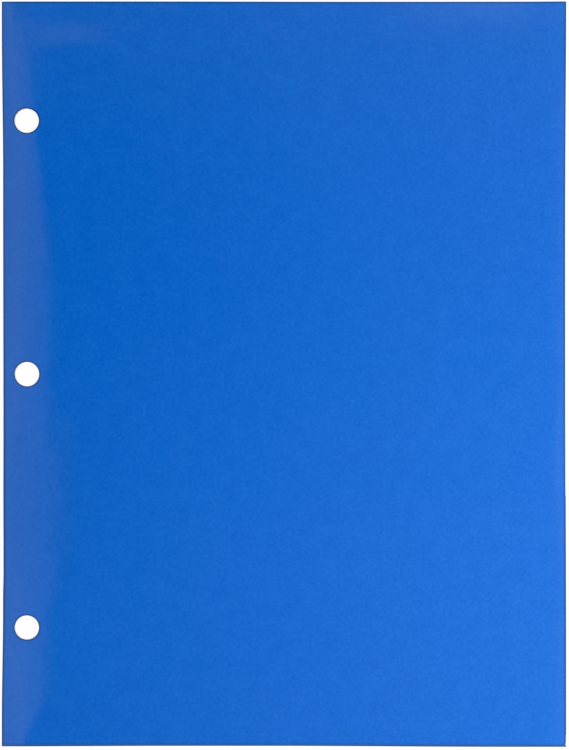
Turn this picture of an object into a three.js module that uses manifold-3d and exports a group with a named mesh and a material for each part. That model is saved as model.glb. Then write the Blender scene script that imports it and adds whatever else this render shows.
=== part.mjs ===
// A two-pocket document folder, shut and lying on its back cover.
// It is one die-cut sheet of film-laminated card: two covers joined by a creased spine, with a strip along
// the bottom that is folded up to make the pockets, and a tab at each outer side that glues the pocket down.
// Millimetres, +Z up. The spine is towards -X and the top edge towards +Y.
import * as THREE from "three";
import { mergeVertices } from "three/addons/utils/BufferGeometryUtils.js";
import Module from "manifold-3d";

// Overall size
const folderHeight = 317.5;
const coverWidth = 240.5; // from the nose of the spine to the side folds

// Card, glue and the air between them
const cardThickness = 0.4;
const layerGap = 0.1; // between two layers of card that lie together
const glueThickness = 0.1;
const tightestRadius = 0.1; // inside of the pocket strip's bend at the spine
const meetingGap = 0.4; // between the two pockets of a shut folder

// Spine
const rollWidth = 22; // each cover rises over this width from the spine to its flat

// Holes for a ring binder
const holeCount = 3;
const holeDiameter = 10.5;
const holePitch = 107.95;
const holeFromSpine = 10.5; // from the nose of the spine to the holes' centres

// Pockets
const pocketHeight = 108; // at the outer side
const cardAboveHole = 12; // the strip crosses the spine this far above the lowest hole's edge
const slantStart = 14; // from the nose of the spine to where the top edge starts to rise
const slantEnd = 50; // and to where it is at its full height
const slantRadius = 9; // of the two rounded corners of the slant

// Folds
const coverInset = 0.2; // the folds stand out past the covers' cut edge by this much
const foldLeg = 0.3; // straight card on each side of the bottom bend

// Glue tabs and the glue under them
const tabWidth = 16;
const tabRelief = 4; // bare corner between the bottom fold and the tab's root
const tabDrop = 1; // the tab's root stops this far below the pocket's top edge
const tabMitre = 5; // the tab's ends slope by this much over its width
const glueWidth = 8;
const glueMargin = 12; // from the glue's ends to the ends of the tab's root
const glueRadius = 3;

// Smoothness
const rollSteps = 10;
const bendSteps = 8; // to a quarter turn
const cornerSteps = 5;
const holeSides = 48;

// Heights of the layers of one half, counted from the outside of its cover
const glueHeight = cardThickness;
const tabHeight = glueHeight + glueThickness;
const pocketFloor = tabHeight + cardThickness + layerGap;
const halfThickness = pocketFloor + cardThickness;
const shutThickness = 2 * halfThickness + meetingGap;
const middle = shutThickness / 2;

// Radii of the bends: the spine goes round the pocket strip
const pocketCreaseRadius = tightestRadius + cardThickness;
const spineInnerRadius = pocketCreaseRadius + layerGap;
const spineRadius = spineInnerRadius + cardThickness;
const sideFoldRadius = cardThickness + layerGap / 2;
const bottomFoldRadius = halfThickness / 2;

// Places along X and Y
const spineX = -coverWidth / 2;
const creaseX = spineX + spineRadius; // the bend of the spine ends and the covers begin
const rollEndX = spineX + rollWidth;
const outerX = coverWidth / 2;
const sideFoldX = outerX - sideFoldRadius;
const topY = folderHeight / 2;
const bottomY = -folderHeight / 2;
const foldY = bottomY + bottomFoldRadius + foldLeg; // the bottom bend ends and the flat card begins
const pocketTopY = bottomY + pocketHeight;
const lowestHoleY = (-(holeCount - 1) * holePitch) / 2; // the holes are even about the folder's middle
const dipY = lowestHoleY + holeDiameter / 2 + cardAboveHole; // the pocket strip's top edge at the spine
const tabBottomY = foldY + tabRelief;
const tabTopY = pocketTopY - tabDrop;

const wasm = await Module();
wasm.setup();

const laminatedCard = new THREE.MeshStandardMaterial({
  name: "laminated_card",
  color: 0x0f65c9,
  roughness: 0.3,
  metalness: 0,
});
const creasedCard = new THREE.MeshStandardMaterial({
  name: "creased_card",
  color: 0x3264b8,
  roughness: 0.35,
  metalness: 0,
});
const driedGlue = new THREE.MeshStandardMaterial({
  name: "dried_glue",
  color: 0xe9e2cf,
  roughness: 0.5,
  metalness: 0,
});

// A closed geometry as a solid that can be joined and cut.
function solidOf(geometry) {
  const bare = geometry.clone();
  bare.deleteAttribute("normal");
  bare.deleteAttribute("uv");
  const merged = mergeVertices(bare, 1e-5);
  return new wasm.Manifold(
    new wasm.Mesh({
      numProp: 3,
      vertProperties: merged.attributes.position.array,
      triVerts: new Uint32Array(merged.index.array),
    }),
  );
}

// The solid's surface as a geometry again.
function geometryOf(solid) {
  const { vertProperties, triVerts } = solid.getMesh();
  const geometry = new THREE.BufferGeometry();
  geometry.setAttribute("position", new THREE.BufferAttribute(vertProperties, 3));
  geometry.setIndex(new THREE.BufferAttribute(triVerts, 1));
  geometry.computeVertexNormals();
  return geometry;
}

// A shape drawn in X and Z, run along Y between two places.
function runAlongY(shape, fromY, toY) {
  const geometry = new THREE.ExtrudeGeometry(shape, {
    depth: toY - fromY,
    bevelEnabled: false,
    curveSegments: bendSteps,
  });
  return geometry.rotateX(Math.PI / 2).translate(0, toY, 0);
}

// A shape drawn in X and Y, run upwards between two heights.
function runUp(shape, fromZ, toZ) {
  const geometry = new THREE.ExtrudeGeometry(shape, {
    depth: toZ - fromZ,
    bevelEnabled: false,
    curveSegments: cornerSteps,
  });
  return geometry.translate(0, 0, fromZ);
}

// A closed outline through the corners in turn. A corner with a radius is rounded by an arc.
function outlineOf(corners) {
  const outline = new THREE.Shape();
  const placeOf = ({ x, y }) => new THREE.Vector2(x, y);
  corners.forEach((corner, i) => {
    const place = placeOf(corner);
    if (!corner.radius) {
      if (i === 0) outline.moveTo(place.x, place.y);
      else outline.lineTo(place.x, place.y);
      return;
    }
    const before = placeOf(corners.at(i - 1)).sub(place).normalize();
    const after = placeOf(corners[(i + 1) % corners.length]).sub(place).normalize();
    const halfAngle = Math.acos(before.dot(after)) / 2;
    const centre = before.clone().add(after).normalize();
    centre.multiplyScalar(corner.radius / Math.sin(halfAngle)).add(place);
    const tangent = corner.radius / Math.tan(halfAngle);
    const start = before.clone().multiplyScalar(tangent).add(place).sub(centre).angle();
    const end = after.clone().multiplyScalar(tangent).add(place).sub(centre).angle();
    const turnsRight = before.cross(after) > 0;
    outline.absarc(centre.x, centre.y, corner.radius, start, end, turnsRight);
  });
  return outline;
}

// Half a ring in X and Z: the section of a bend, with its nose towards -X or, turned, towards +X.
function bendSection(x, z, radius, innerRadius, turned) {
  const nose = turned ? 0 : Math.PI;
  const section = new THREE.Shape();
  section.absarc(x, z, radius, nose - Math.PI / 2, nose + Math.PI / 2, false);
  section.absarc(x, z, innerRadius, nose + Math.PI / 2, nose - Math.PI / 2, true);
  return section;
}

// How far a sheet has risen at x on its way from its flat to the spine, which it meets at the full rise.
// Creased card springs away from the crease at an even curvature, which is a parabola at this slope.
function rollHeight(x, rise) {
  const into = Math.max(0, rollEndX - x) / (rollEndX - creaseX);
  return rise * into * into;
}

function coverUnderside(x) {
  return rollHeight(x, middle - spineRadius);
}

function pocketUnderside(x) {
  const rise = middle - pocketCreaseRadius - pocketFloor;
  return pocketFloor + rollHeight(x, rise);
}

// Places along X from the spine's bend to the end of the roll, where a sheet's section needs a point.
function rollStations() {
  const step = (rollEndX - creaseX) / rollSteps;
  return Array.from({ length: rollSteps + 1 }, (_, i) => creaseX + i * step);
}

// The section in X and Z of a sheet of card that rolls up to the spine.
function sheetSection(underside, endX) {
  const stations = [...rollStations(), endX];
  const below = stations.map((x) => new THREE.Vector2(x, underside(x)));
  const above = stations.map((x) => new THREE.Vector2(x, underside(x) + cardThickness));
  return new THREE.Shape([...below, ...above.reverse()]);
}

// The punch's pin at one hole, long enough to go through the shut folder.
function punchPin(centreY) {
  const pin = new THREE.CylinderGeometry(holeDiameter / 2, holeDiameter / 2, 3 * shutThickness, holeSides);
  pin.rotateX(Math.PI / 2);
  pin.translate(spineX + holeFromSpine, centreY, middle);
  return solidOf(pin);
}

function punched(sheet) {
  const centres = Array.from({ length: holeCount }, (_, i) => lowestHoleY + i * holePitch);
  return centres.reduce((left, y) => left.subtract(punchPin(y)), sheet);
}

// Cover: the whole front or back of the folder, from the spine's bend to its cut edge.
function cover() {
  const section = sheetSection(coverUnderside, outerX - coverInset);
  return geometryOf(punched(solidOf(runAlongY(section, foldY, topY))));
}

// Pocket: the strip folded up over the inside of the cover. Its top edge dips towards the spine, so that
// the strip can fold with it, and the punch goes through it where it covers a hole.
function pocket() {
  const section = sheetSection(pocketUnderside, sideFoldX);
  const strip = solidOf(runAlongY(section, foldY, Math.max(pocketTopY, dipY)));
  const outline = outlineOf([
    { x: creaseX, y: foldY },
    { x: sideFoldX, y: foldY },
    { x: sideFoldX, y: pocketTopY },
    { x: spineX + slantEnd, y: pocketTopY, radius: slantRadius },
    { x: spineX + slantStart, y: dipY, radius: slantRadius },
    { x: creaseX, y: dipY },
  ]);
  const dieCut = strip.intersect(solidOf(runUp(outline, 0, shutThickness)));
  return geometryOf(punched(dieCut));
}

// One section of the bottom bend at x, as a loop of points in Y and Z. The cover's card goes in at the
// bottom, turns round the nose at the bottom edge and comes out on top as the pocket's.
function bottomFoldLoop(x) {
  const low = coverUnderside(x);
  const high = pocketUnderside(x) + cardThickness;
  const radius = (high - low) / 2;
  const centreY = bottomY + radius;
  const centreZ = (low + high) / 2;
  const arc = (size) =>
    Array.from({ length: 2 * bendSteps + 1 }, (_, i) => {
      const angle = (Math.PI * i) / (2 * bendSteps);
      return new THREE.Vector2(centreY - size * Math.sin(angle), centreZ + size * Math.cos(angle));
    });
  return [
    new THREE.Vector2(foldY, high),
    ...arc(radius),
    new THREE.Vector2(foldY, low),
    new THREE.Vector2(foldY, low + cardThickness),
    ...arc(radius - cardThickness).reverse(),
    new THREE.Vector2(foldY, high - cardThickness),
  ];
}

// A closed surface through loops of points in Y and Z, all with as many points, one at each place along X.
function loftAlongX(places, loops) {
  const size = loops[0].length;
  const positions = loops.flatMap((loop, i) => loop.flatMap((p) => [places[i], p.x, p.y]));
  const faces = [];
  for (let i = 0; i + 1 < loops.length; i += 1) {
    for (let j = 0; j < size; j += 1) {
      const next = (j + 1) % size;
      const here = i * size;
      const there = here + size;
      faces.push(here + j, here + next, there + next);
      faces.push(here + j, there + next, there + j);
    }
  }
  const last = (loops.length - 1) * size;
  for (const [a, b, c] of THREE.ShapeUtils.triangulateShape(loops[0], [])) faces.push(a, c, b);
  for (const [a, b, c] of THREE.ShapeUtils.triangulateShape(loops.at(-1), [])) {
    faces.push(last + a, last + b, last + c);
  }
  const geometry = new THREE.BufferGeometry();
  geometry.setAttribute("position", new THREE.Float32BufferAttribute(positions, 3));
  geometry.setIndex(faces);
  geometry.computeVertexNormals();
  return geometry;
}

// Bottom fold: lofted, because the cover and its pocket draw together towards the spine.
function bottomFold() {
  const places = [...rollStations(), outerX];
  return loftAlongX(places, places.map(bottomFoldLoop));
}

// Side fold: the bend from the pocket's outer side to the glue tab behind it.
function sideFold() {
  const centreZ = pocketFloor - layerGap / 2;
  const section = bendSection(sideFoldX, centreZ, sideFoldRadius, layerGap / 2, true);
  return runAlongY(section, tabBottomY, tabTopY);
}

// Glue tab: the flap behind the pocket's outer side, mitred at both ends to keep out of the corners.
function glueTab() {
  const outline = outlineOf([
    { x: sideFoldX, y: tabBottomY },
    { x: sideFoldX, y: tabTopY },
    { x: sideFoldX - tabWidth, y: tabTopY - tabMitre, radius: tabMitre / 2 },
    { x: sideFoldX - tabWidth, y: tabBottomY + tabMitre, radius: tabMitre / 2 },
  ]);
  return runUp(outline, tabHeight, tabHeight + cardThickness);
}

// Glue line: the strip of glue that holds the tab to the inside of the cover.
function glueLine() {
  const centreX = sideFoldX - tabWidth / 2;
  const left = centreX - glueWidth / 2;
  const right = centreX + glueWidth / 2;
  const low = tabBottomY + glueMargin;
  const high = tabTopY - glueMargin;
  const outline = outlineOf([
    { x: left, y: low, radius: glueRadius },
    { x: right, y: low, radius: glueRadius },
    { x: right, y: high, radius: glueRadius },
    { x: left, y: high, radius: glueRadius },
  ]);
  return runUp(outline, glueHeight, tabHeight);
}

// Spine crease: the covers' card bent round the pocket strip, over the folder's full height.
function spineCrease() {
  const section = bendSection(creaseX, middle, spineRadius, spineInnerRadius, false);
  return runAlongY(section, bottomY, topY);
}

// Pocket crease: the strip's own bend inside the spine, as high as the pockets are there.
function pocketCrease() {
  const section = bendSection(creaseX, middle, pocketCreaseRadius, tightestRadius, false);
  return runAlongY(section, foldY, dipY);
}

function piece(name, geometry, material) {
  const mesh = new THREE.Mesh(geometry, material);
  mesh.name = name;
  return mesh;
}

// One half of the folder: a cover and all that is folded and glued to it.
function half(side) {
  const group = new THREE.Group();
  group.name = `${side}_half`;
  group.add(
    piece(`${side}_cover`, cover(), laminatedCard),
    piece(`${side}_bottom_fold`, bottomFold(), creasedCard),
    piece(`${side}_pocket`, pocket(), laminatedCard),
    piece(`${side}_side_fold`, sideFold(), creasedCard),
    piece(`${side}_glue_tab`, glueTab(), laminatedCard),
    piece(`${side}_glue_line`, glueLine(), driedGlue),
  );
  return group;
}

const folder = new THREE.Group();
folder.name = "document_folder";
const backHalf = half("back");
const frontHalf = half("front");
frontHalf.scale.z = -1; // the front half is the back half's mirror image
frontHalf.position.z = shutThickness;
folder.add(backHalf, frontHalf);
folder.add(piece("spine_crease", spineCrease(), creasedCard));
folder.add(piece("pocket_crease", pocketCrease(), creasedCard));

export default folder;
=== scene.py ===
import math

import bpy
import numpy as np
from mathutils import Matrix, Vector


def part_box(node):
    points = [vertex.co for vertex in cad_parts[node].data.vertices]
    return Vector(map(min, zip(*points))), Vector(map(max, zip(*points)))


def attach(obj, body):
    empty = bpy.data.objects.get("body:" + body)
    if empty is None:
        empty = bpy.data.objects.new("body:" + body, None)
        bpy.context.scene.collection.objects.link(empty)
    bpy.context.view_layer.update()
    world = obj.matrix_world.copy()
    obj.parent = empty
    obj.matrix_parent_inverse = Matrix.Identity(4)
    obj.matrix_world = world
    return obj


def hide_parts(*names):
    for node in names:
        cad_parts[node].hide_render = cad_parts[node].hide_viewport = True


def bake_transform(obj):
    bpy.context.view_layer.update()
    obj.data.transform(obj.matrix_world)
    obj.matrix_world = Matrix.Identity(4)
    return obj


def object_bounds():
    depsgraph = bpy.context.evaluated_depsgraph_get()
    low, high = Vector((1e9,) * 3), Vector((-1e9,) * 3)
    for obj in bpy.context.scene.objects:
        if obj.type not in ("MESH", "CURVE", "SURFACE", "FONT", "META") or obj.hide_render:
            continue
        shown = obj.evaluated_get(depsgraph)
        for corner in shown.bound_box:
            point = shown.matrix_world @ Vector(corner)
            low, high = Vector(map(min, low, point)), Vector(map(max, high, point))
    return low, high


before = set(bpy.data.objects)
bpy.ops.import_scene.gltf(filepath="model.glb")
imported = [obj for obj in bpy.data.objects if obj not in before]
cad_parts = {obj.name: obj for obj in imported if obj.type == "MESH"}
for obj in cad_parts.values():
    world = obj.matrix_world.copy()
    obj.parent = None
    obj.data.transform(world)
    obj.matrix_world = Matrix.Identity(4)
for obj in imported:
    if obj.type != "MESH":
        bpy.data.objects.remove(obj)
cad_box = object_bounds()

# Camera. The folder lies on its back cover and is seen from straight above,
# so the frame is set by how much it takes in at the front cover's height.
CAMERA_HEIGHT = 1.5  # above the front cover
FRAME_HEIGHT = 0.31929  # what the picture's long side takes in
FRAME_CENTRE = (0.00023, -0.00037)
SENSOR = 36.0

camera = bpy.data.objects.new("camera", bpy.data.cameras.new("camera"))
bpy.context.scene.collection.objects.link(camera)
bpy.context.scene.camera = camera
camera.data.sensor_width = SENSOR
camera.data.lens = SENSOR * CAMERA_HEIGHT / FRAME_HEIGHT
camera.data.clip_start = 0.01
camera.location = (*FRAME_CENTRE, cad_box[1].z + CAMERA_HEIGHT)
bpy.context.scene.view_settings.view_transform = "Standard"


# Studio. A white table and a pale tent all round, with a dark opening in its
# roof that the camera looks down through, and one soft lamp low on the right.
# The glossy film mirrors the dark opening, except where the card rolls away.
WHITE = (1.0, 1.0, 1.0, 1.0)
LAMP_PLACE = (0.37, -0.13, 0.46)
LAMP_SIZE = 0.3
LAMP_POWER = 2.6
TENT_LOW = 0.4  # the tent's brightness at the table's level, where it is 1 at its roof
TENT_STEEPNESS = (0.3, 1.0)  # it brightens between directions that rise by these shares of their length
# The roof's brightness from left to right and from bottom to top, at places that are given as
# sideways distance for each unit of height above the table
ROOF_ACROSS = (
    (-0.15, 0.75),
    (-0.125, 0.52),
    (-0.105, 0.44),
    (-0.092, 0.22),
    (-0.08, 0.05),
    (-0.07, 0.0),
    (-0.05, 0.0),
    (-0.02, 0.05),
    (0.062, 0.3),
    (0.11, 0.44),
    (0.122, 0.78),
    (0.21, 0.8),
)
ROOF_ALONG = (
    (-0.16, 0.8),
    (-0.12, 0.18),
    (-0.045, 0.13),
    (0.0, 0.04),
    (0.03, 0.0),
    (0.06, 0.0),
    (0.095, 0.07),
    (0.13, 0.35),
    (0.2, 0.8),
)
ROOF_MOST = 0.8  # no part of the roof is brighter
ROOF_STEEPNESS = 0.05  # directions that rise less than this count as rising by this
DIM_SHARE = 0.55  # the lower left of the roof keeps only this share of its brightness,
DIM_ENDS_ACROSS = (-0.07, -0.02)  # which comes back between these places from the left,
DIM_ENDS_ALONG = (0.0, 0.05)  # and between these from the bottom
TABLE_SIZE = 60.0
TABLE_GAP = 0.00003  # the table lies this far below the folder, so that their faces stay apart
TABLE_PAINT = "#e6e6e6"
TABLE_GLOW = 0.93  # to the camera the table shines, as white as the photograph's ground,
TABLE_SHADE = 0.12  # with paint of this brightness over it, which takes the shadows


def linear(hex_colour):
    """A colour as it is written for screens, as the linear colour that a shader takes."""
    parts = [int(hex_colour[i : i + 2], 16) / 255 for i in (1, 3, 5)]
    return (*[p / 12.92 if p <= 0.04045 else ((p + 0.055) / 1.055) ** 2.4 for p in parts], 1.0)


def add(tree, kind, sockets=None, **settings):
    """Adds a node. A socket is given a value, or the output socket that feeds it."""
    node = tree.nodes.new(kind)
    for name, value in settings.items():
        setattr(node, name, value)
    for name, value in (sockets or {}).items():
        if isinstance(value, bpy.types.NodeSocket):
            tree.links.new(value, node.inputs[name])
        else:
            node.inputs[name].default_value = value
    return node


def reckon(tree, operation, *values):
    """Adds a math node and gives its result."""
    return add(tree, "ShaderNodeMath", dict(enumerate(values)), operation=operation).outputs[0]


def spread(tree, value, before, after, **settings):
    """Adds a node that takes a value from one range to another, and gives its result."""
    sockets = {"Value": value}
    sockets["From Min"], sockets["From Max"] = before
    sockets["To Min"], sockets["To Max"] = after
    return add(tree, "ShaderNodeMapRange", sockets, **settings).outputs["Result"]


def ramp(tree, value, stops):
    """Adds a colour ramp through stops of (place, colour), and gives its colour."""
    node = add(tree, "ShaderNodeValToRGB", {"Fac": value})
    elements = node.color_ramp.elements
    for place, colour in stops[1:-1]:
        elements.new(place).color = colour
    for element, (place, colour) in ((elements[0], stops[0]), (elements[len(stops) - 1], stops[-1])):
        element.position = place
        element.color = colour
    return node.outputs["Color"]


def roof_light(tree, value, stops):
    """The roof's brightness along one direction, from its stops of (place, brightness)."""
    start, end = stops[0][0], stops[-1][0]
    greys = [((place - start) / (end - start), (light, light, light, 1)) for place, light in stops]
    return ramp(tree, spread(tree, value, (start, end), (0.0, 1.0)), greys)


world = bpy.data.worlds.new("tent")
bpy.context.scene.world = world
world.use_nodes = True
tent = world.node_tree
tent.nodes.clear()
direction = add(tent, "ShaderNodeTexCoord").outputs["Generated"]
parts = add(tent, "ShaderNodeSeparateXYZ", {"Vector": direction}).outputs
steepness = reckon(tent, "MAXIMUM", parts["Z"], ROOF_STEEPNESS)
across = reckon(tent, "DIVIDE", parts["X"], steepness)
along = reckon(tent, "DIVIDE", parts["Y"], steepness)
least = spread(tent, along, DIM_ENDS_ALONG, (DIM_SHARE, 1.0))
faded = spread(tent, across, DIM_ENDS_ACROSS, (least, 1.0))
lit = reckon(tent, "MULTIPLY", roof_light(tent, along, ROOF_ALONG), faded)
lit = reckon(tent, "ADD", lit, roof_light(tent, across, ROOF_ACROSS))
lit = reckon(tent, "MINIMUM", lit, ROOF_MOST)
fabric = spread(tent, parts["Z"], TENT_STEEPNESS, (TENT_LOW, 1.0))
glow = reckon(tent, "MULTIPLY", lit, fabric)
ray = add(tent, "ShaderNodeLightPath").outputs
inside = add(tent, "ShaderNodeBackground", {"Color": WHITE, "Strength": glow})
outside = add(tent, "ShaderNodeBackground", {"Color": WHITE, "Strength": 1.0})
seen = add(
    tent,
    "ShaderNodeMixShader",
    {"Fac": ray["Is Camera Ray"], 1: inside.outputs[0], 2: outside.outputs[0]},
)
add(tent, "ShaderNodeOutputWorld", {"Surface": seen.outputs[0]})

lamp = bpy.data.objects.new("soft_lamp", bpy.data.lights.new("soft_lamp", "AREA"))
bpy.context.scene.collection.objects.link(lamp)
lamp.data.size = LAMP_SIZE
lamp.data.energy = LAMP_POWER
lamp.location = LAMP_PLACE
lamp.rotation_euler = (-lamp.location).to_track_quat("-Z", "Y").to_euler()
lamp.visible_camera = False


def blank_material(name):
    """A material whose nodes are still to be added, and its node tree."""
    material = bpy.data.materials.new(name)
    material.use_nodes = True
    material.node_tree.nodes.clear()
    return material, material.node_tree


bpy.ops.object.select_all(action="DESELECT")
bpy.ops.mesh.primitive_plane_add(size=TABLE_SIZE, location=(0, 0, -TABLE_GAP))
table = bpy.context.object
table.name = "table"
table_white, tree = blank_material("matt_white_table")
table.data.materials.append(table_white)
ray = add(tree, "ShaderNodeLightPath").outputs
paint = add(tree, "ShaderNodeBsdfDiffuse", {"Color": linear(TABLE_PAINT)})
shown_paint = add(tree, "ShaderNodeBsdfDiffuse", {"Color": (TABLE_SHADE, TABLE_SHADE, TABLE_SHADE, 1)})
shine = add(tree, "ShaderNodeEmission", {"Color": WHITE, "Strength": TABLE_GLOW})
shown = add(tree, "ShaderNodeAddShader", {0: shown_paint.outputs[0], 1: shine.outputs[0]})
seen = ray["Is Camera Ray"]
for kind in ("Is Glossy Ray", "Is Transmission Ray"):
    seen = reckon(tree, "MAXIMUM", seen, ray[kind])
look = add(tree, "ShaderNodeMixShader", {"Fac": seen, 1: paint.outputs[0], 2: shown.outputs[0]})
add(tree, "ShaderNodeOutputMaterial", {"Surface": look.outputs[0]})


# Card. The folder is one sheet of white board, printed blue and laminated with gloss
# film on its outside, then die-cut, creased and punched for a ring binder. Its panels are
# modelled flat, in millimetres, with their lower face at 0, and are then laid in place.
MM = 1000  # millimetres in a metre
CARD = 0.4
SHUT = cad_box[1].z * MM  # the shut folder's thickness
CREASE_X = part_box("back_cover")[0].x * MM  # the spine's bend ends and the covers begin
COVER_EDGE_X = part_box("back_cover")[1].x * MM
OUTER_X = cad_box[1].x * MM
BOTTOM_Y = cad_box[0].y * MM
FOLD_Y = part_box("back_cover")[0].y * MM  # the bottom bend ends and the covers begin
TOP_Y = cad_box[1].y * MM
POCKET_TOP_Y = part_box("back_pocket")[1].y * MM
HOLE_RADIUS = 5.17  # the film that the punch draws in narrows the hole a little
HOLE_X = CREASE_X + 9.5  # which is 10.5 from the spine's nose
HOLE_PITCH = 107.95
HOLE_YS = (-HOLE_PITCH, 0.0, HOLE_PITCH)
HOLE_SIDES = 96
PIN_LENGTH = 10.0
RIM_CLEAR = 0.35  # no point of a panel's grid stays nearer than this to a hole's rim
RIM_REACH = 0.2  # what lies within this of a hole belongs to its rim
MERGED = 0.04  # points of a punched panel that lie nearer to each other than this become one
CUT_EASE = 0.05  # the die rounds the card's cut edges by this much
PUNCH_EASE = 0.12  # and the punch draws the film down round a hole,
DRAWN_DOWN = 0.3  # so that only this share of its wall is still bare
EASE_SEGMENTS = 2
SHARP = math.radians(60)  # edges sharper than this are cuts
SMOOTH = math.radians(20)  # and edges flatter than this are shaded smooth
JOIN = 0.01  # an edge that lies nearer than this to the next piece is a join and no cut
FACING = 0.6  # a face whose normal has at least this share along a direction faces that way
FILM, BARE, CUT = 0, 1, 2  # a face's finish, as its place among the piece's materials

# Profiles are measures that change along a line. Each has its value at the start, soft steps of
# (rise, from, to), and swells of (height, middle, reach). All are in mm, apart from the shares.
SPINE_WAIST = (  # how far the spine's nose lies in from its outermost place
    0.0,
    ((0.53, -148.0, -100.0), (0.2, -96.0, -84.0), (-0.18, -60.0, 80.0), (-0.55, 85.0, 148.0)),
    ((-0.09, -50.0, 18.0),),
)
SIDE_WAIST = (0.0, ((0.28, -122.0, 0.0), (-0.48, 60.0, 175.0)), ((0.3, -157.8, 0.5),))
BOTTOM_WAIST = (0.19, ((0.23, -119.0, -50.0), (-0.42, -5.0, 95.0)))
TOP_WAIST = (0.07, ((-0.06, 105.0, 119.0),), ((0.12, 30.0, 50.0),))
HOLE_STRIP = (HOLE_X - HOLE_RADIUS - 0.3, HOLE_X + HOLE_RADIUS + 1.0)  # it moves as one: holes stay round
SPINE_WAIST_END_X = HOLE_X + 40.0  # each waist has run out by this place on the card
SIDE_WAIST_END_X = 40.0
BOTTOM_WAIST_END_Y = -115.0
TOP_WAIST_END_Y = 118.0

SPINE_RISE = 0.6  # each cover rises by this much from its flat to the spine
ROLL_WIDTH = (  # widest where the pockets hold the covers apart, and narrower to both ends
    9.0,
    ((14.5, -160.0, -132.0), (21.0, -105.0, -62.0), (-20.5, -50.0, 0.0), (-10.0, 50.0, 118.0)),
)
TOP_ROLL = (85.0, 130.0)  # between these heights the roll changes to two rolls in one:
WIDE_ROLL, NARROW_ROLL = 30.0, 4.0  # a soft one of this width, and one close to the crease
WIDE_ROLL_SHARE = (0.75, ((-0.55, 136.0, 149.0),))
LIP_WIDTH, LIP_DEPTH = 2.2, 0.012  # over the last of its bottom a cover turns in a little

OFF_SPINE = 30.0  # the front half's sag comes in over this width
POCKET_DROP = 0.07  # beyond the pocket, which holds it up, the front half lies lower by this much,
POCKET_DROP_UP = (POCKET_TOP_Y - 6.0, POCKET_TOP_Y + 20.0)  # which comes in over these heights
POCKET_DROP_ACROSS = (-95.0, -20.0)  # and these places across
SAG = 0.3
SAG_UP = (-40.0, 150.0)
SAG_ACROSS = (-119.0, 60.0)
WAVES = ((0.012, 9.6, 23.0, 0.0), (0.009, -31.0, 8.1, 1.3))  # height, run in x and in y, and shift
TOP_CURL_WIDTH, TOP_CURL, TOP_CURL_TIP = 19.0, 0.12, 0.1  # the last is its sharper part
TOP_CURL_COMES = (35.0, 88.0)  # places across between which it comes,
TOP_CURL_GOES, TOP_CURL_GONE = (98.0, 113.0), 0.7  # and between which this share of it goes
SIDE_CURL_WIDTH = 8.0
SIDE_CURL = (0.1, ((-0.06, 112.0, 138.0),), ((0.08, -42.0, 20.0),))
TOP_DENT = 0.19  # the top of the spine is pressed in
TOP_DENT_UP = (138.0, 152.0)
TOP_DENT_GOES = (-92.0, -60.0)
TOP_DENT_EDGE = 4.0  # it comes in over this width from the crease


def soft_step(value, start, end):
    """0 before start and 1 after end, with a smooth change between them."""
    share = np.clip((value - start) / (end - start), 0.0, 1.0)
    return share * share * (3 - 2 * share)


def profile(place, measure, steps=(), swells=()):
    """A profile's measure at a place of its line."""
    for rise, start, end in steps:
        measure = measure + rise * soft_step(place, start, end)
    for height, middle, reach in swells:
        measure = measure + height * np.exp(-(((place - middle) / reach) ** 2))
    return measure


def drawn_up(x, y):
    """How far the bottom fold is drawn up, and the top edge down, most of all between their corners."""
    bottom = profile(x, *BOTTOM_WAIST) * (1 - soft_step(y, BOTTOM_Y, BOTTOM_WAIST_END_Y))
    return bottom - profile(x, *TOP_WAIST) * soft_step(y, TOP_WAIST_END_Y, TOP_Y)


def drifted(x, y):
    """Where a point of the flat card lies once the folder's sides are drawn in a little, as in use."""
    to_strip = soft_step(x, CREASE_X, HOLE_STRIP[0])
    past_strip = soft_step(x, HOLE_STRIP[1], SPINE_WAIST_END_X)
    left = profile(y, *SPINE_WAIST) * (1 - (to_strip + past_strip) / 2)
    right = profile(y, *SIDE_WAIST) * soft_step(x, SIDE_WAIST_END_X, COVER_EDGE_X)
    return x + left - right, y + drawn_up(x, y)


def off_flat(x, width):
    """1 at the spine, falling evenly to 0 at this width from it."""
    return np.clip((CREASE_X + width - x) / width, 0.0, 1.0)


def roll_share(x, y):
    """How far the card has rolled up to its crease: 0 on the flat of a panel, and 1 at the spine."""
    below = off_flat(x, profile(y, *ROLL_WIDTH)) ** 2
    wide = profile(y, *WIDE_ROLL_SHARE)
    at_top = wide * off_flat(x, WIDE_ROLL) ** 4 + (1 - wide) * off_flat(x, NARROW_ROLL) ** 2
    return below + (at_top - below) * soft_step(y, *TOP_ROLL)


def cover_lift(x, y):
    """The outer face of a cover: flat, rolling up to the spine, and turning in along the bottom fold."""
    lip = LIP_DEPTH * np.clip((FOLD_Y + LIP_WIDTH - y) / LIP_WIDTH, 0.0, 1.0) ** 2
    return SPINE_RISE * roll_share(x, y) + lip * (1 - roll_share(x, y))


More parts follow.
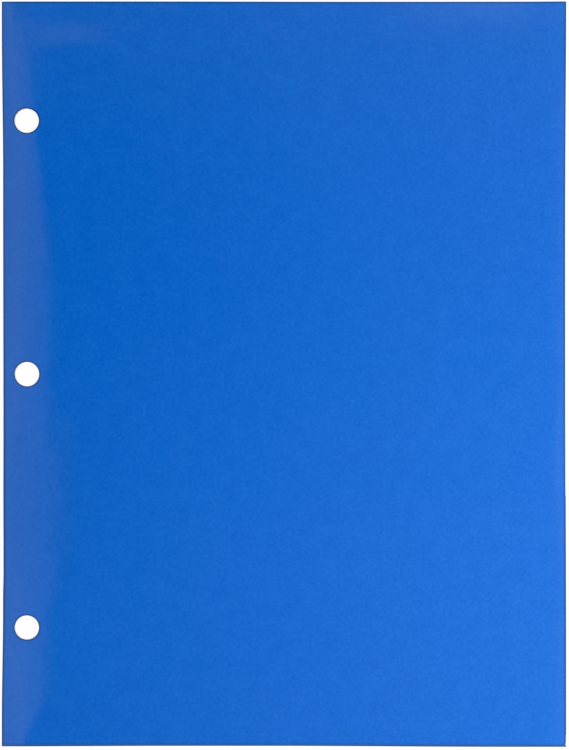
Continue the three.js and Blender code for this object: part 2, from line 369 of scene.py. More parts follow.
def front_drop(x, y):
    """How far the front half sags below a flat sheet: beyond the pocket, which holds it up, it lies lower,
    and its top edge, its open side and the top of its spine bend down."""
    pocket_drop = POCKET_DROP * soft_step(y, *POCKET_DROP_UP) * soft_step(x, *POCKET_DROP_ACROSS)
    sag = SAG * soft_step(y, *SAG_UP) * soft_step(x, *SAG_ACROSS)
    waves = 0.0
    for height, run_x, run_y, shift in WAVES:
        waves = waves + height * (1 + np.sin(x / run_x + y / run_y + shift))
    to_top = np.clip((y - TOP_Y + TOP_CURL_WIDTH) / TOP_CURL_WIDTH, 0, 1)
    top_curl = TOP_CURL * to_top**2 + TOP_CURL_TIP * to_top**3
    top_curl *= soft_step(x, *TOP_CURL_COMES) * (1 - TOP_CURL_GONE * soft_step(x, *TOP_CURL_GOES))
    to_side = np.clip((x - COVER_EDGE_X + SIDE_CURL_WIDTH) / SIDE_CURL_WIDTH, 0, 1)
    side_curl = profile(y, *SIDE_CURL) * to_side**2
    off_spine = soft_step(x, CREASE_X, CREASE_X + OFF_SPINE)
    top_dent = TOP_DENT * soft_step(y, *TOP_DENT_UP) * (1 - soft_step(x, *TOP_DENT_GOES))
    top_dent *= soft_step(x, CREASE_X, CREASE_X + TOP_DENT_EDGE)
    return off_spine * (pocket_drop + sag + waves + top_curl + side_curl) + top_dent


def stand(points, lift, side):
    """Puts a panel in its half of the folder: the back half counts up from the table, and the front
    half down from the top."""
    x, y = drifted(points[:, 0], points[:, 1])
    height = points[:, 2] + lift
    if side == "front":
        height = SHUT - height - front_drop(points[:, 0], points[:, 1])
    return np.stack([x, y, height], 1)


def spaced(*stretches):
    """Places along a line, from (start, end, number of spaces) for each stretch."""
    runs = [np.linspace(start, end, count + 1)[:-1] for start, end, count in stretches]
    return np.concatenate([*runs, [stretches[-1][1]]])


def level(y):
    """A straight edge across a panel, at this height."""
    return lambda x: np.full_like(x, y)


def only(piece):
    """Selects one piece and makes it the active one."""
    bpy.ops.object.select_all(action="DESELECT")
    piece.select_set(True)
    bpy.context.view_layer.objects.active = piece


def applied(piece, kind, **settings):
    """Adds a modifier and applies it."""
    only(piece)
    modifier = piece.modifiers.new(kind.lower(), kind)
    for name, value in settings.items():
        setattr(modifier, name, value)
    bpy.ops.object.modifier_apply(modifier=modifier.name)


def copied(flat, name):
    """A copy of a flat piece, with a mesh of its own."""
    piece = flat.copy()
    piece.data = flat.data.copy()
    bpy.context.scene.collection.objects.link(piece)
    piece.name = piece.data.name = name
    return piece


def vectors_of(items, attribute):
    """One vector for each of a mesh's points or faces."""
    vectors = np.empty(len(items) * 3, np.float32)
    items.foreach_get(attribute, vectors)
    return vectors.reshape(-1, 3)


def points_of(mesh):
    return vectors_of(mesh.vertices, "co").astype(float)


def move_points(mesh, points):
    mesh.vertices.foreach_set("co", np.asarray(points, np.float32).ravel())
    mesh.update()


def cut_panel(name, columns, shares, low, high):
    """A flat panel of card: a grid whose columns run from its lower to its upper die-cut edge."""
    bpy.ops.object.select_all(action="DESELECT")
    bpy.ops.mesh.primitive_grid_add(x_subdivisions=len(columns) - 1, y_subdivisions=len(shares) - 1, size=2)
    panel = bpy.context.object
    panel.name = panel.data.name = name
    grid = (points_of(panel.data) + 1) / 2  # Blender's grid runs from -1 to 1
    x = columns[np.rint(grid[:, 0] * (len(columns) - 1)).astype(int)]
    share = shares[np.rint(grid[:, 1] * (len(shares) - 1)).astype(int)]
    y = low(x) + share * (high(x) - low(x))
    move_points(panel.data, np.stack([x, y, np.zeros_like(x)], 1))
    applied(panel, "SOLIDIFY", thickness=CARD, offset=1.0)
    return panel


def punch(panel, hole_ys):
    """Cuts the ring holes through a flat panel, with a round pin at each. The grid's points are first
    moved off the rims, so that no sliver is left there."""
    points = points_of(panel.data)
    for y in hole_ys:
        away = points[:, :2] - (HOLE_X, y)
        reach = np.hypot(*away.T)
        near = np.abs(reach - HOLE_RADIUS) < RIM_CLEAR
        aim = HOLE_RADIUS + np.where(reach < HOLE_RADIUS, -RIM_CLEAR, RIM_CLEAR)
        points[near, :2] += (away * (aim / reach - 1)[:, None])[near]
    move_points(panel.data, points)
    bpy.ops.object.select_all(action="DESELECT")
    pins = []
    for y in hole_ys:
        bpy.ops.mesh.primitive_cylinder_add(
            vertices=HOLE_SIDES, radius=HOLE_RADIUS, depth=PIN_LENGTH, location=(HOLE_X, y, 0)
        )
        pins.append(bpy.context.object)
    for pin in pins:
        pin.select_set(True)
    bpy.context.view_layer.objects.active = pins[0]
    if len(pins) > 1:
        bpy.ops.object.join()
    applied(panel, "BOOLEAN", operation="DIFFERENCE", object=pins[0], solver="EXACT")
    bpy.data.objects.remove(pins[0])
    bpy.ops.object.mode_set(mode="EDIT")
    bpy.ops.mesh.select_all(action="SELECT")
    bpy.ops.mesh.remove_doubles(threshold=MERGED)
    bpy.ops.object.mode_set(mode="OBJECT")


def ease(panel, width, chosen):
    """Bevels the sharp edges whose middle is chosen, as the die or the punch rounds a cut."""
    only(panel)
    bpy.ops.object.mode_set(mode="EDIT")
    bpy.ops.mesh.select_mode(type="EDGE")
    bpy.ops.mesh.select_all(action="DESELECT")
    bpy.ops.mesh.edges_select_sharp(sharpness=SHARP)
    bpy.ops.object.mode_set(mode="OBJECT")
    mesh = panel.data
    ends = np.empty(len(mesh.edges) * 2, np.int32)
    mesh.edges.foreach_get("vertices", ends)
    sharp = np.empty(len(mesh.edges), bool)
    mesh.edges.foreach_get("select", sharp)
    middle = points_of(mesh)[ends.reshape(-1, 2)].mean(1)
    mesh.edges.foreach_set("select", sharp & chosen(middle[:, 0], middle[:, 1]))
    bpy.ops.object.mode_set(mode="EDIT")
    bpy.ops.mesh.bevel(offset=width, segments=EASE_SEGMENTS, affect="EDGES", loop_slide=False)
    bpy.ops.object.mode_set(mode="OBJECT")


def in_hole(x, y):
    """True near the rim of a ring hole."""
    away = [np.hypot(x - HOLE_X, y - hole_y) for hole_y in HOLE_YS]
    return np.min(away, axis=0) < HOLE_RADIUS + RIM_REACH


def off_joins(x, y):
    """True for the die-cut edges of a cover or a pocket: off the holes, the spine and the bottom fold."""
    return ~in_hole(x, y) & (x > CREASE_X + JOIN) & (y > FOLD_Y + JOIN)


def mark(piece, sheet_place, depth, finishes):
    """Keeps each point's place on the flat sheet, in mm, for the patterns, and its depth in the card, from
    0 at the film to 1 at the bare face, and gives each face its finish."""
    mesh = piece.data
    place = mesh.attributes.new("sheet", "FLOAT_VECTOR", "POINT")
    place.data.foreach_set("vector", np.asarray(sheet_place, np.float32).ravel())
    mesh.attributes.new("depth", "FLOAT", "POINT").data.foreach_set("value", np.asarray(depth, np.float32))
    mesh.polygons.foreach_set("material_index", np.asarray(finishes, np.int32))


def keep_shade_and_rub(piece, share):
    """Keeps each point's painted shade, from 0 to 1, which on a fold also says how far its film is rubbed
    dull.
    """
    shade_and_rub = piece.data.attributes.new("shade_and_rub", "FLOAT", "POINT")
    shade_and_rub.data.foreach_set("value", np.asarray(share, np.float32))


def finishes_of(flat, film_below):
    """The finish of each face of a flat piece whose filmed side is its lower or its upper face."""
    up = vectors_of(flat.data.polygons, "normal")[:, 2]
    return np.select([up < -FACING, up > FACING], [FILM, BARE] if film_below else [BARE, FILM], CUT)


def mark_panel(panel, film_below):
    """Marks a flat panel whose filmed side is its lower or its upper face."""
    points = points_of(panel.data)
    depth = points[:, 2] / CARD if film_below else 1 - points[:, 2] / CARD
    depth[in_hole(points[:, 0], points[:, 1])] *= DRAWN_DOWN
    mark(panel, points, depth, finishes_of(panel, film_below))


def finish(piece, materials):
    """Takes a placed piece from millimetres to metres, shades it and gives it its materials. Bends are
    smooth, and the narrow faces of an eased cut stay apart from the flat, which keeps its mirror even."""
    only(piece)
    bpy.ops.object.mode_set(mode="EDIT")
    bpy.ops.mesh.select_all(action="SELECT")
    bpy.ops.mesh.normals_make_consistent(inside=False)
    bpy.ops.object.mode_set(mode="OBJECT")
    piece.scale = (1 / MM, 1 / MM, 1 / MM)
    bpy.ops.object.transform_apply(location=True, rotation=True, scale=True)
    bpy.ops.object.shade_smooth_by_angle(angle=SMOOTH)
    for material in materials:
        piece.data.materials.append(material)


# Materials. Their patterns are laid out in millimetres on the flat card, and so bend and
# roll with it. Colours change between stops of (place in the pattern, colour), and a bump
# has its depth in metres, and a strength.
NOISE_RANGE = (0.3, 0.7)  # a noise pattern mostly lies between these
INK = ((0.35, "#005fc5"), (0.5, "#0764c9"), (0.65, "#1069ce"))  # from where it lies thick to thin
# the blue ink's colour where it is darkened with painted shade
INK_IN_PAINTED_SHADE = "#0a488a"
INK_MOTTLE = 1.5  # mm; about 0.5 in life, drawn larger so that it shows at this size
INK_CLOUDS, INK_CLOUD_SHARE = 8.0, 0.35  # mm, and how much of the pattern they make
PEEL_CRESTS, PEEL_DEPTH = 0.85, 0.000005  # the film's orange peel: crests in a mm, and its depth in metres
SWELL_SIZE, SWELL_DEPTH = 9.0, 0.00004  # the board's own waviness, in mm and metres
CUT_SHADE_FADES = (0.25, 1.15)  # mm from a cut or a hole over which the painted shade at its rim fades out
FOLD_SHADE_FADES = (0.0, 0.9)  # and mm from the bottom fold over which its painted shade fades out
FOLD_SHADE = 0.5  # the painted shade where the fold begins, and all over the bottom fold
MOST_SHADE_AND_RUB = 0.9  # the most painted shade, on a fold's outermost line and a cut's rim; there a fold's film is also rubbed dull
RUBBED_COAT = 0.25  # what gloss would be left to a film that is rubbed through
ROLL_SHADE = 0.28  # painted shade on the roll to the spine, where it is strongest
ROLL_SHADE_UP = (0.4, ((0.6, -130.0, 90.0), (-0.5, 75.0, 130.0)))
CREASE_LINE_SHADE = (0.0, ((0.4, 90.0, -90.0), (-0.25, -98.0, -118.0)))
CREASE_LINE_WIDTH = 0.8
FINE, LONG = 9.0, 0.22  # lines that a fold leaves in the film: crests in a mm, across and along it
LINE_INK = "#8fb4e6"
LINE_COMES = (0.6, 0.74)  # a line comes in between these values of its pattern,
LINE_MOST = 0.3  # and hides no more than this share of the ink
LINE_BUMP = (0.00002, 0.6)
FAR = 1000.0  # past every edge
BOARD = ((0.32, "#e3e0d9"), (0.66, "#efede7"))
BOARD_GRAIN = (2.4, 0.8, 1.0)  # crests in a mm: the fibres mostly run up the sheet
BOARD_CLOUDS, BOARD_CLOUD_SHARE = 14.0, 0.25
BOARD_ROUGHNESS = (0.72, 0.9)
BOARD_BUMP = (0.00003, 0.7)
EDGE = ((0.2, "#1458ad"), (0.26, "#cfcac0"), (0.6, "#e4e0d6"), (0.95, "#d2cdc2"))  # from the film inwards
EDGE_FIBRES = 5.0  # crests in a mm
EDGE_TORN = 0.1  # how far the torn fibres shift the layers
EDGE_BUMP = (0.00003, 0.8)


def shade_on_roll(x, y):
    """Painted shade on the roll to the spine: most between the upper two holes, and further down most in a
    fine line where the crease begins."""
    in_roll = ROLL_SHADE * off_flat(x, profile(y, *ROLL_WIDTH)) * profile(y, *ROLL_SHADE_UP)
    return in_roll + profile(y, *CREASE_LINE_SHADE) * off_flat(x, CREASE_LINE_WIDTH)


def noise(tree, place, scale, detail, roughness=0.5):
    """Adds a noise pattern and gives its value."""
    sockets = {"Vector": place, "Scale": scale, "Detail": detail, "Roughness": roughness}
    return add(tree, "ShaderNodeTexNoise", sockets).outputs[0]


def between(tree, share, first, second, kind="RGBA"):
    """Mixes two colours, or two values of the kind FLOAT."""
    sockets = {"Factor": share, "A": first, "B": second}
    return add(tree, "ShaderNodeMix", sockets, data_type=kind).outputs["Result"]


def tinted(tree, value, stops):
    """Adds a colour ramp through stops of (place, colour as it is written for screens)."""
    return ramp(tree, value, [(place, linear(colour)) for place, colour in stops])


def bump(tree, height, distance, strength=1.0, under=None):
    """Adds a bump, on top of an earlier one if there is one."""
    sockets = {"Height": height, "Distance": distance, "Strength": strength}
    if under is not None:
        sockets["Normal"] = under
    return add(tree, "ShaderNodeBump", sockets).outputs[0]


def dress(tree, sockets):
    """Adds the shader that a material's nodes lead to, and the output."""
    shader = add(tree, "ShaderNodeBsdfPrincipled", sockets)
    add(tree, "ShaderNodeOutputMaterial", {"Surface": shader.outputs[0]})


def mottled_ink(tree, place):
    """The blue ink, very slightly mottled and clouded."""
    fine = noise(tree, place, 1 / INK_MOTTLE, 3.0, 0.6)
    cloud = noise(tree, place, 1 / INK_CLOUDS, 4.0, 0.65)
    both = between(tree, INK_CLOUD_SHARE, fine, cloud, "FLOAT")
    return tinted(tree, both, INK)


def film_surface(tree, place):
    """The film's faint orange peel and the board's own waviness."""
    peel = bump(tree, noise(tree, place, PEEL_CRESTS, 2.0), PEEL_DEPTH)
    return bump(tree, noise(tree, place, 1 / SWELL_SIZE, 2.0), SWELL_DEPTH, under=peel)


def shade_at_cuts(tree, place, shade_and_rub, cut_at, fold_at):
    """The painted shade at a place: what its point says, or the painted shade by a hole, a die-cut edge or
    the fold nearby, whichever is more."""
    at = add(tree, "ShaderNodeSeparateXYZ", {"Vector": place}).outputs
    off_hole = reckon(tree, "SUBTRACT", at["X"], HOLE_X)
    wrapped = reckon(tree, "WRAP", at["Y"], HOLE_PITCH / 2, -HOLE_PITCH / 2)
    away = add(tree, "ShaderNodeCombineXYZ", {"X": off_hole, "Y": wrapped}).outputs[0]
    reach = add(tree, "ShaderNodeVectorMath", {0: away}, operation="LENGTH").outputs["Value"]
    nearest = reckon(tree, "SUBTRACT", reach, HOLE_RADIUS)
    for socket, cut in zip((at["X"], at["Y"]), cut_at):
        nearest = reckon(tree, "MINIMUM", nearest, reckon(tree, "SUBTRACT", cut, socket))
    off_fold = reckon(tree, "SUBTRACT", at["Y"], fold_at)
    for distance, fades, most in ((nearest, CUT_SHADE_FADES, MOST_SHADE_AND_RUB), (off_fold, FOLD_SHADE_FADES, FOLD_SHADE)):
        near = spread(tree, distance, fades, (most, 0.0), interpolation_type="SMOOTHSTEP")
        shade_and_rub = reckon(tree, "MAXIMUM", shade_and_rub, near)
    return shade_and_rub


def fold_lines(tree, place, scale, colour, surface):
    """Adds the fine pale lines that run along a fold to its colour and its surface."""
    drawn_out = add(tree, "ShaderNodeMapping", {"Vector": place, "Scale": scale}).outputs[0]
    lines = noise(tree, drawn_out, 1.0, 3.0)
    pale = spread(tree, lines, LINE_COMES, (0.0, LINE_MOST))
    return between(tree, pale, colour, linear(LINE_INK)), bump(tree, lines, *LINE_BUMP, surface)


def laminate(name, cut_at=(FAR, FAR), fold_at=-FAR, folded=None):
    """Solid bleached board, flood printed in one blue ink under a gloss polypropylene film. The film gives
    a sharp, clear reflection. Along a cut, a hole, a fold and the roll to the spine the ink is darkened
    with painted shade. Along a fold run fine pale lines too, and its outermost line is rubbed dull."""
    material, tree = blank_material(name)
    place = add(tree, "ShaderNodeAttribute", attribute_name="sheet").outputs["Vector"]
    shade_and_rub_here = add(tree, "ShaderNodeAttribute", attribute_name="shade_and_rub").outputs["Fac"]
    colour = mottled_ink(tree, place)
    surface = film_surface(tree, place)
    coat = 1.0
    if folded is None:
        shade_and_rub_here = shade_at_cuts(tree, place, shade_and_rub_here, cut_at, fold_at)
    else:
        colour, surface = fold_lines(tree, place, folded, colour, surface)
        coat = spread(tree, shade_and_rub_here, (FOLD_SHADE, 1.0), (1.0, RUBBED_COAT))
    look = {
        # the ink turns towards the darker blue by the painted shade at this place
        "Base Color": between(tree, shade_and_rub_here, colour, linear(INK_IN_PAINTED_SHADE)),
        "Roughness": 0.45,
        "IOR": 1.5,
        "Specular IOR Level": 0.0,
        "Coat Weight": coat,
        "Coat Roughness": 0.05,
        "Coat IOR": 1.49,
        "Normal": surface,
        "Coat Normal": surface,
    }
    dress(tree, look)
    return material


def bare_board(name):
    """Uncoated solid bleached board: a matt, slightly warm white with a fine felt of fibres."""
    material, tree = blank_material(name)
    place = add(tree, "ShaderNodeAttribute", attribute_name="sheet").outputs["Vector"]
    grain = add(tree, "ShaderNodeMapping", {"Vector": place, "Scale": BOARD_GRAIN}).outputs[0]
    fibre = noise(tree, grain, 1.0, 5.0, 0.7)
    cloud = noise(tree, place, 1 / BOARD_CLOUDS, 3.0)
    both = between(tree, BOARD_CLOUD_SHARE, fibre, cloud, "FLOAT")
    look = {
        "Base Color": tinted(tree, both, BOARD),
        "Roughness": spread(tree, fibre, NOISE_RANGE, BOARD_ROUGHNESS),
        "IOR": 1.5,
        "Specular IOR Level": 0.3,
        "Normal": bump(tree, fibre, *BOARD_BUMP),
    }
    dress(tree, look)
    return material


def cut_edge(name):
    """The die-cut edge of the board: bare fibre in pale layers, under the inked film as a thin line."""
    material, tree = blank_material(name)
    depth = add(tree, "ShaderNodeAttribute", attribute_name="depth").outputs["Fac"]
    place = add(tree, "ShaderNodeAttribute", attribute_name="sheet").outputs["Vector"]
    torn = noise(tree, place, EDGE_FIBRES, 4.0, 0.7)
    uneven = reckon(tree, "MULTIPLY_ADD", torn, EDGE_TORN, depth)
    look = {
        "Base Color": tinted(tree, uneven, EDGE),
        "Roughness": 0.85,
        "IOR": 1.5,
        "Normal": bump(tree, torn, *EDGE_BUMP),
    }
    dress(tree, look)
    return material


film = laminate("gloss_film_on_blue_printed_board", cut_at=(COVER_EDGE_X, TOP_Y), fold_at=FOLD_Y)
board = bare_board("uncoated_white_board")
edge = cut_edge("die_cut_board_edge")


# Covers. They are the sheet's two large panels, film outwards, and have all three ring
# holes. Both are copies of one flat panel.
SPINE_GRID_X, SIDE_GRID_X = -84.0, 40.0  # the grid is finer up to the first and from the second place on
FOLD_GRID_Y = FOLD_Y + 2.4
cover_columns = spaced(
    (CREASE_X, SPINE_GRID_X, 44), (SPINE_GRID_X, SIDE_GRID_X, 52), (SIDE_GRID_X, COVER_EDGE_X, 44)
)
cover_rows = spaced((FOLD_Y, FOLD_GRID_Y, 8), (FOLD_GRID_Y, TOP_Y, 190))
cover_shares = (cover_rows - FOLD_Y) / (TOP_Y - FOLD_Y)
cover_flat = cut_panel("cover", cover_columns, cover_shares, level(FOLD_Y), level(TOP_Y))
punch(cover_flat, HOLE_YS)
ease(cover_flat, PUNCH_EASE, in_hole)
ease(cover_flat, CUT_EASE, off_joins)
mark_panel(cover_flat, film_below=True)
for side in ("back", "front"):
    cover = copied(cover_flat, f"{side}_cover_panel")
    points = points_of(cover.data)
    # painted shade on each cover's roll to the spine and along the crease line
    keep_shade_and_rub(cover, shade_on_roll(points[:, 0], points[:, 1]))
    lift = cover_lift(points[:, 0], points[:, 1])
    move_points(cover.data, stand(points, lift, side))
    finish(cover, [film, board, edge])
    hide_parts(f"{side}_cover")
    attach(cover, side)
bpy.data.objects.remove(cover_flat)


# Bottom folds. The same card turns round each cover's bottom edge and comes
# back over its inside as the pocket, so the film is on the outside of the bend.
# The bend draws tight where cover and pocket close up towards the spine.
POCKET_FLOOR = 1.0  # the pocket's bare face above the outside of its cover, on the flat
POCKET_RISE = 0.1  # and its further rise to the spine
BEND_CELLS = 18  # round a half turn
STRIP_ROWS = BEND_CELLS + 2  # with a straight one at each end
BEND_RADIUS = (POCKET_FLOOR + CARD) / 2
FULL_SHADE_AND_RUB_OUT = 0.7  # the bend takes its most painted shade, and its film is fully rubbed, where it stands out by this share of its depth


def pocket_lift(x, y):
    """The bare face of a pocket above the outside of its cover."""
    return POCKET_FLOOR + POCKET_RISE * roll_share(x, y)


def wrap(points):
    """Turns a flat strip round the bottom edge: its row says how far round a point is, and its height how
    deep in the card."""
    x, row, depth = points.T
    line = np.full_like(x, FOLD_Y)
    low, high = cover_lift(x, line), pocket_lift(x, line) + CARD
    radius = (high - low) / 2
    turn = math.pi * np.clip((row - 1) / BEND_CELLS, 0, 1)
    y = BOTTOM_Y + radius - (radius - depth) * np.sin(turn)
    y = np.where((row < 0.5) | (row > STRIP_ROWS - 0.5), FOLD_Y, y)
    lift = (low + high) / 2 - (radius - depth) * np.cos(turn)
    return np.stack([x, y, lift], 1)


film_folded_across = laminate("gloss_film_folded_along_the_bottom", folded=(LONG, FINE, 1.0))

fold_columns = spaced((CREASE_X, SPINE_GRID_X, 44), (SPINE_GRID_X, OUTER_X, 100))
fold_shares = np.linspace(0, 1, STRIP_ROWS + 1)
for side in ("back", "front"):
    name = f"{side}_bottom_fold_strip"
    fold = cut_panel(name, fold_columns, fold_shares, level(0), level(STRIP_ROWS))
    ease(fold, CUT_EASE, lambda x, y: x > OUTER_X - JOIN)
    flat = points_of(fold.data)
    round_bend = (flat[:, 1] - 1) / BEND_CELLS * math.pi
    on_sheet = np.stack([flat[:, 0], FOLD_Y - round_bend * BEND_RADIUS, flat[:, 2]], 1)
    mark(fold, on_sheet, flat[:, 2] / CARD, finishes_of(fold, film_below=True))
    out = np.sin(np.clip(round_bend, 0, math.pi))
    # painted shade over the bend, most where it stands out, where its film is also rubbed dull
    keep_shade_and_rub(fold, FOLD_SHADE + (MOST_SHADE_AND_RUB - FOLD_SHADE) * soft_step(out, 0.0, FULL_SHADE_AND_RUB_OUT))
    move_points(fold.data, stand(wrap(flat), 0.0, side))
    finish(fold, [film_folded_across, board, edge])
    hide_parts(f"{side}_bottom_fold")
    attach(fold, side)


# Pockets. The strip that is folded up over the inside of each cover, with the
# film towards the reader. Its top edge is die-cut: it dips at the spine, so
# that the strip can fold there, and climbs on a rounded slant.
SIDE_FOLD_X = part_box("back_side_fold")[0].x * MM
POCKET_LOW_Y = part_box("pocket_crease")[1].y * MM
SLANT_START_X = CREASE_X + 13.0
SLANT_RADIUS = 9.0
SLANT = math.radians(48.0)
SLANT_GRID_X = -64.0  # the grid is finer up to this place
FOLD_GRID_SHARE = 0.02  # and over this share of the height


def pocket_top(x):
    """The pocket's die-cut top edge: low at the spine, and up along a slant with two rounded corners."""
    low, high, radius = POCKET_LOW_Y, POCKET_TOP_Y, SLANT_RADIUS
    run = radius * math.sin(SLANT)
    start = SLANT_START_X - radius * math.tan(SLANT / 2)
    end = start + 2 * run + (high - low - 2 * radius * (1 - math.cos(SLANT))) / math.tan(SLANT)
    lower_arc = low + radius - np.sqrt(np.maximum(radius**2 - (x - start) ** 2, 0.0))
    upper_arc = high - radius + np.sqrt(np.maximum(radius**2 - (end - x) ** 2, 0.0))
    line = low + radius * (1 - math.cos(SLANT)) + (x - start - run) * math.tan(SLANT)
    stretches = [x < start, x < start + run, x < end - run, x < end]
    return np.select(stretches, [low, lower_arc, line, upper_arc], high)


pocket_film = laminate("gloss_film_on_pocket_board")
pocket_columns = spaced((CREASE_X, SLANT_GRID_X, 70), (SLANT_GRID_X, SIDE_FOLD_X, 92))
pocket_shares = spaced((0.0, FOLD_GRID_SHARE, 4), (FOLD_GRID_SHARE, 1.0, 68))
pocket_flat = cut_panel("pocket", pocket_columns, pocket_shares, level(FOLD_Y), pocket_top)
punch(pocket_flat, HOLE_YS[:1])
ease(pocket_flat, PUNCH_EASE, in_hole)
ease(pocket_flat, CUT_EASE, lambda x, y: off_joins(x, y) & (x < SIDE_FOLD_X - JOIN))
mark_panel(pocket_flat, film_below=False)
for side in ("back", "front"):
    pocket = copied(pocket_flat, f"{side}_pocket_panel")
    points = points_of(pocket.data)
    lift = pocket_lift(points[:, 0], points[:, 1])
    move_points(pocket.data, stand(points, lift, side))
    finish(pocket, [pocket_film, board, edge])
    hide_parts(f"{side}_pocket")
    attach(pocket, side)
bpy.data.objects.remove(pocket_flat)


# Side folds and glue tabs. At the pocket's outer side the card turns back
# under itself, tight enough to stand out past the cover's cut edge, and ends
# in a mitred tab that is glued to the inside of the cover.
TAB_FLOOR = 0.5  # the tab's filmed face above the outside of its cover
TAB_WIDTH = 16.0
TAB_MITRE = 5.0
TAB_CORNER = 2.5
TAB_END_X = SIDE_FOLD_X - TAB_WIDTH
TAB_CORNER_X = TAB_END_X + TAB_CORNER
TAB_LOW_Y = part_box("back_side_fold")[0].y * MM
TAB_HIGH_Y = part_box("back_side_fold")[1].y * MM
TAB_ROWS = 40
SIDE_RADIUS = OUTER_X - SIDE_FOLD_X
SIDE_STEPS = 16
SIDE_CELLS = 50
SAME_POINT = 0.00001  # points of a bend's two ends that meet lie nearer to each other than this
FULL_SHADE_AND_RUB_FACING = 0.9  # a bend takes its most painted shade, and its film is fully rubbed, where its face looks out by this share


def mitre(x):
    """How far a tab's end has drawn in at x, sloping from its root and rounded at its outer corner."""
    out = SIDE_FOLD_X - x
    round_corner = np.maximum(TAB_CORNER_X - x, 0)
    rounding = TAB_CORNER - np.sqrt(np.maximum(TAB_CORNER**2 - round_corner**2, 0))
    return TAB_MITRE * out / TAB_WIDTH + rounding


def spun(name, start_low, start_high, from_y, to_y, cells, centre, angle, steps):
    """Half a turn of card: a strip at one end of the bend, spun about the fold's line."""
    bpy.ops.object.select_all(action="DESELECT")
    bpy.ops.mesh.primitive_grid_add(x_subdivisions=cells, y_subdivisions=1, size=2)
    bend = bpy.context.object
    bend.name = bend.data.name = name
    points = points_of(bend.data)
    y = from_y + (points[:, 0] + 1) / 2 * (to_y - from_y)
    z = np.where(points[:, 1] < 0, start_low, start_high)
    move_points(bend.data, np.stack([np.full_like(y, centre[0]), y, z], 1))
    bpy.ops.object.mode_set(mode="EDIT")
    bpy.ops.mesh.select_all(action="SELECT")
    bpy.ops.mesh.spin(steps=steps, angle=angle, center=(centre[0], 0, centre[1]), axis=(0, 1, 0))
    bpy.ops.mesh.select_all(action="SELECT")
    bpy.ops.mesh.remove_doubles(threshold=SAME_POINT)
    bpy.ops.mesh.normals_make_consistent(inside=False)
    bpy.ops.object.mode_set(mode="OBJECT")
    return bend


def mark_bend(bend, centre, film_radius, bare_radius):
    """Marks a bend of card by how far each point and face lies from the fold's line."""
    points = points_of(bend.data)
    away = points[:, (0, 2)] - centre
    radius = np.hypot(*away.T)
    turn = np.arctan2(away[:, 1], np.abs(away[:, 0]))
    depth = (radius - film_radius) / (bare_radius - film_radius)
    on_sheet = np.stack([centre[0] + turn * (film_radius + bare_radius) / 2, points[:, 1], radius], 1)
    face_away = vectors_of(bend.data.polygons, "center")[:, (0, 2)] - centre
    normals = vectors_of(bend.data.polygons, "normal")[:, (0, 2)]
    out = (normals * face_away).sum(1) / np.hypot(*face_away.T)
    film_outside = film_radius > bare_radius
    finishes = np.select([out > FACING, out < -FACING], [FILM, BARE] if film_outside else [BARE, FILM], CUT)
    mark(bend, on_sheet, depth, finishes)
    if film_outside:
        # painted shade on the bend: the roll's, rising to the most at its nose, where the film is also
        # rubbed dull
        roll_shade_here = shade_on_roll(centre[0], points[:, 1])
        keep_shade_and_rub(bend, roll_shade_here + (MOST_SHADE_AND_RUB - roll_shade_here) * soft_step(np.cos(turn), 0.0, FULL_SHADE_AND_RUB_FACING))


film_folded_upright = laminate("gloss_film_folded_upright", folded=(FINE, LONG, 1.0))
tab_film = laminate("gloss_film_on_glue_tab")
tab_flat = cut_panel(
    "tab",
    spaced((TAB_END_X, TAB_CORNER_X, 10), (TAB_CORNER_X, SIDE_FOLD_X, 10)),
    np.linspace(0, 1, TAB_ROWS + 1),
    lambda x: TAB_LOW_Y + mitre(x),
    lambda x: TAB_HIGH_Y - mitre(x),
)
ease(tab_flat, CUT_EASE, lambda x, y: x < SIDE_FOLD_X - JOIN)
mark_panel(tab_flat, film_below=True)
side_centre = (SIDE_FOLD_X, (TAB_FLOOR + CARD + POCKET_FLOOR) / 2)
fold_flat = spun(
    "side_fold",
    TAB_FLOOR,
    TAB_FLOOR + CARD,
    TAB_LOW_Y,
    TAB_HIGH_Y,
    SIDE_CELLS,
    side_centre,
    math.pi,
    SIDE_STEPS,
)
mark_bend(fold_flat, side_centre, SIDE_RADIUS, SIDE_RADIUS - CARD)
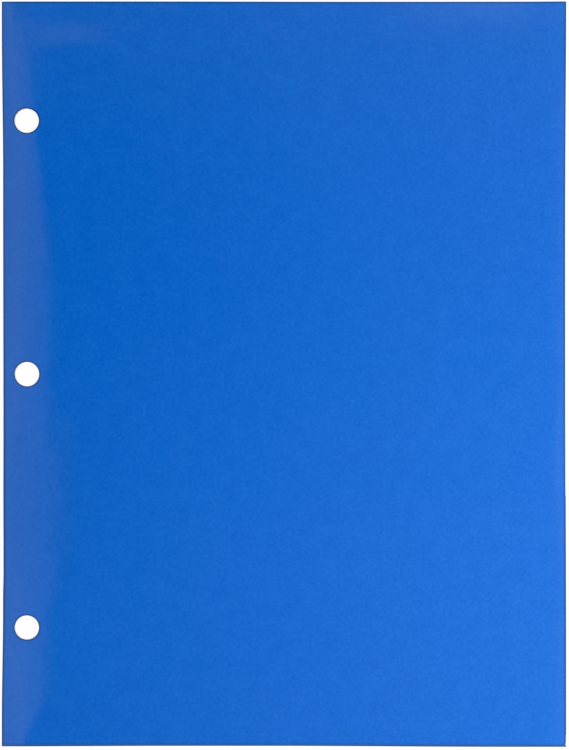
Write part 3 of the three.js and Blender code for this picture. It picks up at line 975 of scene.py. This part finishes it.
for side in ("back", "front"):
    for flat, ending, node, lift in (
        (tab_flat, "glue_tab_flap", "glue_tab", TAB_FLOOR),
        (fold_flat, "side_fold_bend", "side_fold", 0.0),
    ):
        flap = copied(flat, f"{side}_{ending}")
        move_points(flap.data, stand(points_of(flap.data), lift, side))
        finish(flap, [film_folded_upright if node == "side_fold" else tab_film, board, edge])
        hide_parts(f"{side}_{node}")
        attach(flap, side)
bpy.data.objects.remove(tab_flat)
bpy.data.objects.remove(fold_flat)


# Glue lines. A hot-melt line holds each tab to its cover. It is closed in
# between the two, so its CAD solid stays and only gets the look of dried glue.
GLUE = ((0.3, "#d9c896"), (0.7, "#efe6c8"))
GLUE_POOLS = 260.0  # in a metre
GLUE_BUMP = (0.00005, 0.8)

glue, tree = blank_material("dried_hot_melt_glue")
place = add(tree, "ShaderNodeTexCoord").outputs["Object"]
pool = noise(tree, place, GLUE_POOLS, 3.0)
glue_look = {
    "Base Color": tinted(tree, pool, GLUE),
    "Roughness": 0.35,
    "IOR": 1.48,
    "Subsurface Weight": 0.3,
    "Subsurface Scale": 0.0005,
    "Normal": bump(tree, pool, *GLUE_BUMP),
}
dress(tree, glue_look)
for side in ("back", "front"):
    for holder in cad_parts[f"{side}_glue_line"].material_slots:
        holder.material = glue


# Creases. The covers' card bends round at the spine over the folder's whole
# height, and the pocket strip bends inside it. Both are bent, not hinged.
SPINE_RADIUS = 1.0
POCKET_RADIUS = 0.5
CREASE_STEPS = 48
MIDDLE = SHUT / 2

for name, radius, film_outside, from_y, to_y, cells, node in (
    ("spine_crease_bend", SPINE_RADIUS, True, BOTTOM_Y, TOP_Y, 240, "spine_crease"),
    ("pocket_crease_bend", POCKET_RADIUS, False, FOLD_Y, POCKET_LOW_Y, 60, "pocket_crease"),
):
    centre = (CREASE_X, MIDDLE)
    low = MIDDLE - radius
    crease = spun(name, low, low + CARD, from_y, to_y, cells, centre, -math.pi, CREASE_STEPS)
    film_radius, bare_radius = (radius, radius - CARD) if film_outside else (radius - CARD, radius)
    mark_bend(crease, centre, film_radius, bare_radius)
    points = points_of(crease.data)
    points[:, 0] += profile(points[:, 1], *SPINE_WAIST)
    points[:, 1] += drawn_up(CREASE_X, points[:, 1])
    move_points(crease.data, points)
    finish(crease, [film_folded_upright, board, edge])
    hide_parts(node)
    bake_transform(crease)
